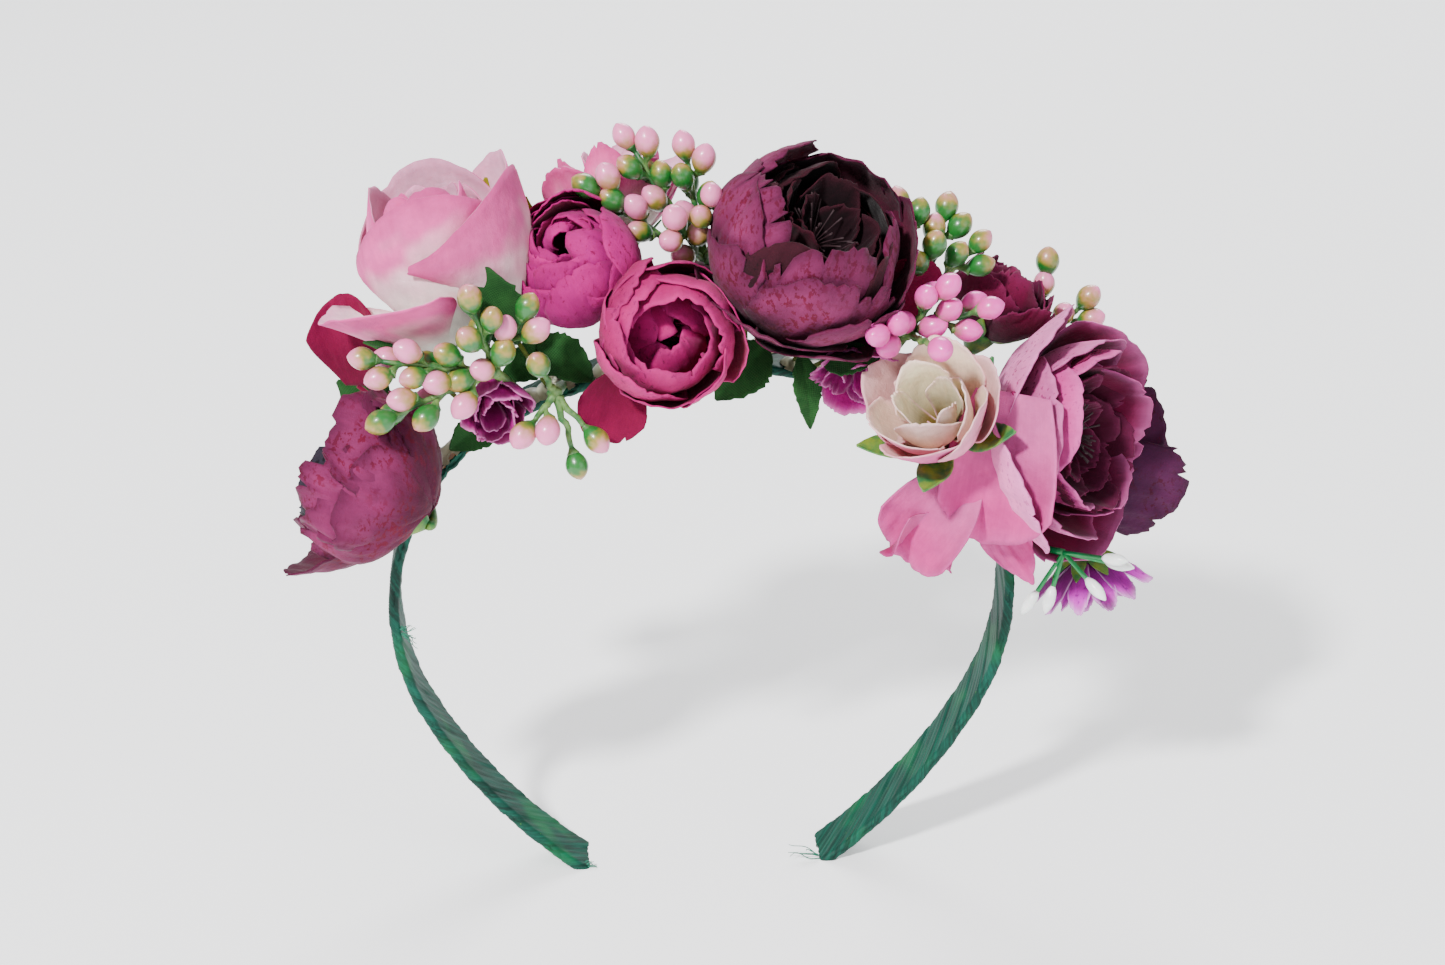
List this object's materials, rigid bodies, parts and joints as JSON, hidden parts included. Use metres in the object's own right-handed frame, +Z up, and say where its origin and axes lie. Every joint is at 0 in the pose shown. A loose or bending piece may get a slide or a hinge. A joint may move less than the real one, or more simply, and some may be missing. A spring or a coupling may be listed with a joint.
{
  "type": "flower crown",
  "caption": "Spring headband wound with green tape, carrying fabric peonies, roses and buds, foam berry sprays and leaves along its top.",
  "frame": {"origin": "midway between the band's two tips, on the plane they stand on, and on the band's mid-width", "axes": "+X from the left tip to the right tip as seen from the front, +Z up to the crown of the band, -Y towards the front, where the peony and the buds face"},
  "size_m": [0.1938, 0.0768, 0.1675],
  "materials": {
    "strip_plastic": "satin moulded strip, orange-gold",
    "floral_tape": "waxed crepe tape, teal green",
    "mauve_petals": "printed polyester satin, dusty mauve speckled with crimson",
    "burgundy_petals": "polyester satin, near-black burgundy",
    "blush_petals": "polyester satin, cream shaded to pink at the rim",
    "pink_petals": "polyester satin, rose pink",
    "crimson_petals": "polyester satin, crimson",
    "plum_petals": "polyester satin, plum",
    "magenta_petals": "polyester satin, magenta purple",
    "lilac_petals": "polyester satin, lilac",
    "leaf_fabric": "woven leaf cloth, dark green, raw edges",
    "calyx_plastic": "moulded polyethylene, leaf green",
    "twig_plastic": "moulded polyethylene, olive green",
    "pale_berries": "lacquered foam, pale pink shaded olive at the base",
    "vivid_berries": "lacquered foam, vivid pink",
    "white_plastic": "moulded plastic, white",
    "stamen_thread": "waxed thread, dark burgundy",
    "hot_glue": "set hot-melt glue, translucent"
  },
  "bodies": {
    "crown": {"back_berries": "pale_berries", "back_berries_twigs": "twig_plastic", "blush_rose_calyx": "calyx_plastic", "blush_rose_inner_petals": "blush_petals", "blush_rose_outer_petals": "blush_petals", "centre_leaves": "leaf_fabric", "centre_peony_calyx": "calyx_plastic", "centre_peony_inner_petals": "burgundy_petals", "centre_peony_outer_petals": "mauve_petals", "centre_peony_stamens": "stamen_thread", "core_crown": "strip_plastic", "cream_rosebud_calyx": "calyx_plastic", "cream_rosebud_petals": "blush_petals", "glue_dabs": "hot_glue", "hanging_berries": "pale_berries", "hanging_berries_twigs": "twig_plastic", "left_berries": "pale_berries", "left_berries_twigs": "twig_plastic", "left_leaves": "leaf_fabric", "left_peony_calyx": "calyx_plastic", "left_peony_inner_petals": "mauve_petals", "left_peony_outer_petals": "mauve_petals", "left_ranunculus_calyx": "calyx_plastic", "left_ranunculus_inner_petals": "pink_petals", "left_ranunculus_outer_petals": "pink_petals", "lilac_bud_calyx": "calyx_plastic", "lilac_bud_petals": "lilac_petals", "lilac_daisy_calyx": "calyx_plastic", "lilac_daisy_petals": "lilac_petals", "mauve_rose_calyx": "calyx_plastic", "mauve_rose_petals": "plum_petals", "middle_ranunculus_calyx": "calyx_plastic", "middle_ranunculus_inner_petals": "crimson_petals", "middle_ranunculus_outer_petals": "crimson_petals", "pale_rose_calyx": "calyx_plastic", "pale_rose_petals": "blush_petals", "pink_berries": "vivid_berries", "pink_berries_twigs": "twig_plastic", "plum_peony_calyx": "calyx_plastic", "plum_peony_inner_petals": "plum_petals", "plum_peony_outer_petals": "plum_petals", "purple_bud_calyx": "calyx_plastic", "purple_bud_petals": "magenta_petals", "right_rose_calyx": "calyx_plastic", "right_rose_inner_petals": "burgundy_petals", "right_rose_outer_petals": "pink_petals", "right_rose_skirt": "pink_petals", "right_rose_stamens": "stamen_thread", "tape_crown": "floral_tape", "top_berries": "pale_berries", "top_berries_twigs": "twig_plastic", "turned_petals": "crimson_petals", "upper_right_berries": "pale_berries", "upper_right_berries_twigs": "twig_plastic", "white_bud_stalks": "twig_plastic", "white_buds": "white_plastic"},
    "left_arm": {"core_left_arm": "strip_plastic", "tape_left_arm": "floral_tape"},
    "right_arm": {"core_right_arm": "strip_plastic", "tape_right_arm": "floral_tape"}
  },
  "joints": [
    {"name": "left_arm_flex", "type": "hinge", "parent": "crown", "child": "left_arm", "pos_m": [-0.0665, 0, 0.064], "axis": [0, 1, 0], "range_deg": [-4, 12], "stiffness_Nm_per_rad": 0.6},
    {"name": "right_arm_flex", "type": "hinge", "parent": "crown", "child": "right_arm", "pos_m": [0.0665, 0, 0.064], "axis": [0, -1, 0], "range_deg": [-4, 12], "stiffness_Nm_per_rad": 0.6}
  ]
}
